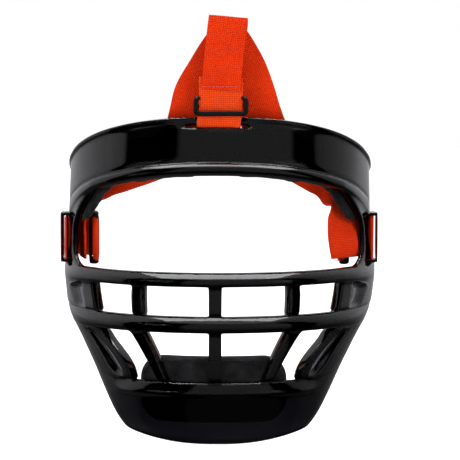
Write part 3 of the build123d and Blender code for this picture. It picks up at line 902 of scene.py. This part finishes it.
# ---- studio -------------------------------------------------------------------------------
def area_light(name, place, target, size, power, tint=(1, 1, 1)):
    data = bpy.data.lights.new(name, "AREA")
    data.shape = "RECTANGLE"
    data.size, data.size_y = size
    data.energy = power
    data.color = tint
    lamp = bpy.data.objects.new(name, data)
    bpy.context.scene.collection.objects.link(lamp)
    lamp.location = place
    lamp.rotation_euler = (Vector(target) - Vector(place)).to_track_quat("-Z", "Y").to_euler()
    return lamp


# what the polished plastic reflects: grey by the way round, from the left side past the camera, the right
# and the back to the left again
SURROUNDINGS = ((0.0, 0.66), (0.048, 0.40), (0.056, 0.0), (0.176, 0.0), (0.188, 0.22), (0.392, 0.22),
                (0.400, 0.0), (0.450, 0.0), (0.460, 0.22), (0.56, 0.45), (0.62, 0.72), (0.94, 0.72),
                (1.0, 0.60))


def surroundings(tree):
    """A white room whose camera side is dark, so that black plastic keeps its depth."""
    def add(kind, **settings):
        made = tree.nodes.new(kind)
        for key, value in settings.items():
            setattr(made, key, value)
        return made

    def link(source, target):
        tree.links.new(source, target)

    direction = add("ShaderNodeTexCoord").outputs["Generated"]
    round_way = add("ShaderNodeTexGradient", gradient_type="RADIAL")
    link(direction, round_way.inputs["Vector"])
    ramp = add("ShaderNodeValToRGB")
    stops = ramp.color_ramp.elements
    for index, (place, grey) in enumerate(SURROUNDINGS):
        stop = stops[index] if index < 2 else stops.new(place)
        stop.position = place
        stop.color = (grey, grey, grey * 1.04, 1)
    link(round_way.outputs["Fac"], ramp.inputs["Fac"])
    parts = add("ShaderNodeSeparateXYZ")
    link(direction, parts.inputs[0])
    above = add("ShaderNodeMapRange", interpolation_type="SMOOTHSTEP")
    for key, value in (("From Min", 0.84), ("From Max", 0.93)):
        above.inputs[key].default_value = value
    link(parts.outputs["Z"], above.inputs["Value"])
    rise = add("ShaderNodeMix", data_type="RGBA")
    link(above.outputs["Result"], rise.inputs["Factor"])
    link(ramp.outputs["Color"], rise.inputs["A"])
    rise.inputs["B"].default_value = (0.8, 0.8, 0.8, 1)
    below = add("ShaderNodeMapRange", interpolation_type="SMOOTHSTEP")
    for key, value in (("From Min", -0.40), ("From Max", 0.15), ("To Min", 0.12)):
        below.inputs[key].default_value = value
    link(parts.outputs["Z"], below.inputs["Value"])
    dimmed = add("ShaderNodeVectorMath", operation="SCALE")
    link(rise.outputs["Result"], dimmed.inputs[0])
    link(below.outputs["Result"], dimmed.inputs["Scale"])
    seen = add("ShaderNodeMix", data_type="RGBA")
    link(add("ShaderNodeLightPath").outputs["Is Camera Ray"], seen.inputs["Factor"])
    link(dimmed.outputs["Vector"], seen.inputs["A"])
    seen.inputs["B"].default_value = (1, 1, 1, 1)
    link(seen.outputs["Result"], tree.nodes["Background"].inputs["Color"])


def studio():
    world = bpy.data.worlds.new("studio")
    bpy.context.scene.world = world
    world.use_nodes = True
    surroundings(world.node_tree)
    bm = bmesh.new()
    bmesh.ops.create_grid(bm, x_segments=1, y_segments=1, size=6.0)
    bmesh.ops.translate(bm, vec=(0, 0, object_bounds()[0].z - 0.001), verts=bm.verts)
    floor_finish = Finish("pale_floor", (0.88, 0.88, 0.88), 0.9)
    floor_finish.set("Emission Color", (1, 1, 1, 1))
    floor_finish.set("Emission Strength", 0.75)
    floor = finish_mesh("floor", bm, floor_finish.material, None, 0, False)
    floor.visible_glossy = False
    floor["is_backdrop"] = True
    target = (0, 0, -0.05)
    area_light("left_fill", (-0.9, -0.9, 0.45), target, (0.6, 0.6), 9).visible_glossy = False
    area_light("right_fill", (0.9, -0.9, 0.45), target, (0.6, 0.6), 9).visible_glossy = False
    area_light("top_softbox", (0, 0.1, 1.2), target, (1.2, 0.8), 14)
    bpy.context.scene.view_settings.view_transform = "Standard"


def camera():
    data = bpy.data.cameras.new("camera")
    data.lens = 151.0
    data.sensor_width = 36.0
    made = bpy.data.objects.new("camera", data)
    bpy.context.scene.collection.objects.link(made)
    azimuth, elevation, distance = radians(1.3), radians(4.0), 1.1
    aim = Vector((0.0077, -0.012, -0.046))
    back = Vector((sin(azimuth) * cos(elevation), -cos(azimuth) * cos(elevation), sin(elevation)))
    made.location = aim + back * distance
    made.rotation_mode = "QUATERNION"
    made.rotation_quaternion = (-back).to_track_quat("-Z", "Y")
    bpy.context.scene.camera = made


camera()
shell()
front_webbing()
top_strap()
for side_name, side_sign in (("left", 1), ("right", -1)):
    leg(side_name)
    side_loop(side_name, side_sign)
adjusters()
pads()
paint_nodes()
studio()
